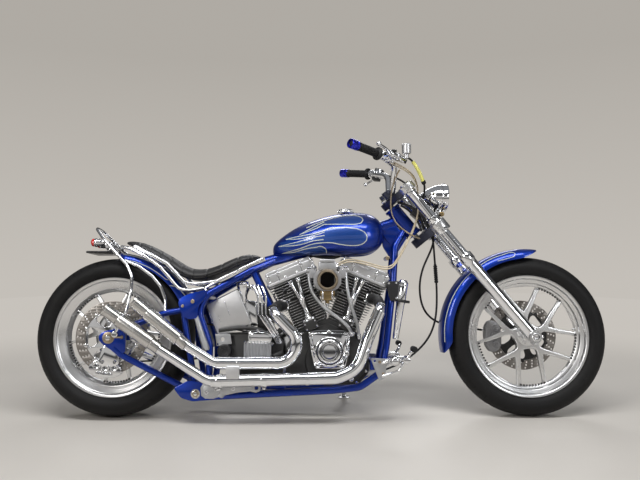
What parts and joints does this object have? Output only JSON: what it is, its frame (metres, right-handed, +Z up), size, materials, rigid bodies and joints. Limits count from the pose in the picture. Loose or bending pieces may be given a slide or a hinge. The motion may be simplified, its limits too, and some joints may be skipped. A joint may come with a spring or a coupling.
{
  "type": "custom motorcycle",
  "caption": "Long low custom motorcycle with a raked fork, V engine, stepped side exhausts and billet wheels, leaning on its side stand.",
  "frame": {"origin": "centre of the bounding box's base, on the floor that the tyres and the stand stand on", "axes": "+X forward, +Y to the rider's left, towards the side stand, +Z up; the machine leans 7 degrees towards +Y"},
  "size_m": [2.3659, 0.7276, 1.1295],
  "materials": {
    "blue_paint": "deep metallic blue under clear coat",
    "chrome": "mirror chrome",
    "polished_alloy": "polished",
    "case_silver": "satin cast",
    "cast_grey": "cast",
    "engine_black": "satin black",
    "disc_steel": "brushed",
    "braided_steel": "braided",
    "tyre_rubber": "matte",
    "black_rubber": "matte",
    "pale_cable": "satin",
    "seat_leather": "quilted, satin",
    "clear_glass": "clear"
  },
  "bodies": {
    "frame": {"main_frame": "blue_paint", "swingarm": "blue_paint", "engine_cases": "case_silver", "rear_cylinder": "engine_black", "front_cylinder": "engine_black", "rocker_boxes": "polished_alloy", "cam_cover": "chrome", "carburettor": "chrome", "breather_hoses": "braided_steel", "gearbox": "case_silver", "primary_cover": "polished_alloy", "oil_tank": "chrome", "fuel_tank": "blue_paint", "seat": "seat_leather", "seat_rails": "chrome", "rear_fender": "blue_paint", "sissy_bar": "chrome", "tail_lamps": "chrome", "rear_exhaust": "chrome", "front_exhaust": "chrome", "exhaust_bracket": "cast_grey", "right_control": "chrome", "left_control": "chrome", "downtube_canister": "chrome", "rear_caliper": "chrome", "drive_belt": "black_rubber", "clutch_cable": "black_rubber", "throttle_cables": "pale_cable"},
    "fork": {"fork_trees": "blue_paint", "fork_legs": "polished_alloy", "handlebar": "chrome", "grips": "black_rubber", "hand_controls": "chrome", "headlamp": "chrome", "headlamp_glass": "clear_glass", "front_fender": "blue_paint", "front_caliper": "engine_black", "brake_hose": "black_rubber"},
    "front_wheel": {"front_rim": "polished_alloy", "front_tyre": "tyre_rubber", "front_disc": "disc_steel"},
    "rear_wheel": {"rear_rim": "polished_alloy", "rear_tyre": "tyre_rubber", "rear_disc": "disc_steel"},
    "side_stand": {"side_stand": "chrome"}
  },
  "joints": [
    {"name": "steering", "type": "hinge", "parent": "frame", "child": "fork", "pos_m": [0.34861, -0.0022, 0.80304], "axis": [-0.6361, 0.094, 0.7659], "range_deg": [-30, 30], "deforming": ["clutch_cable", "throttle_cables"]},
    {"name": "front_wheel_spin", "type": "hinge", "parent": "fork", "child": "front_wheel", "pos_m": [0.855, -0.06078, 0.32596], "axis": [0, 0.9925, -0.1219], "continuous": true},
    {"name": "rear_wheel_spin", "type": "hinge", "parent": "frame", "child": "rear_wheel", "pos_m": [-0.858, -0.06109, 0.32341], "axis": [0, 0.9925, -0.1219], "continuous": true},
    {"name": "side_stand_fold", "type": "hinge", "parent": "frame", "child": "side_stand", "pos_m": [0.0765, 0.07639, 0.08101], "axis": [0, 0.5379, 0.843], "range_deg": [0, 75]}
  ]
}
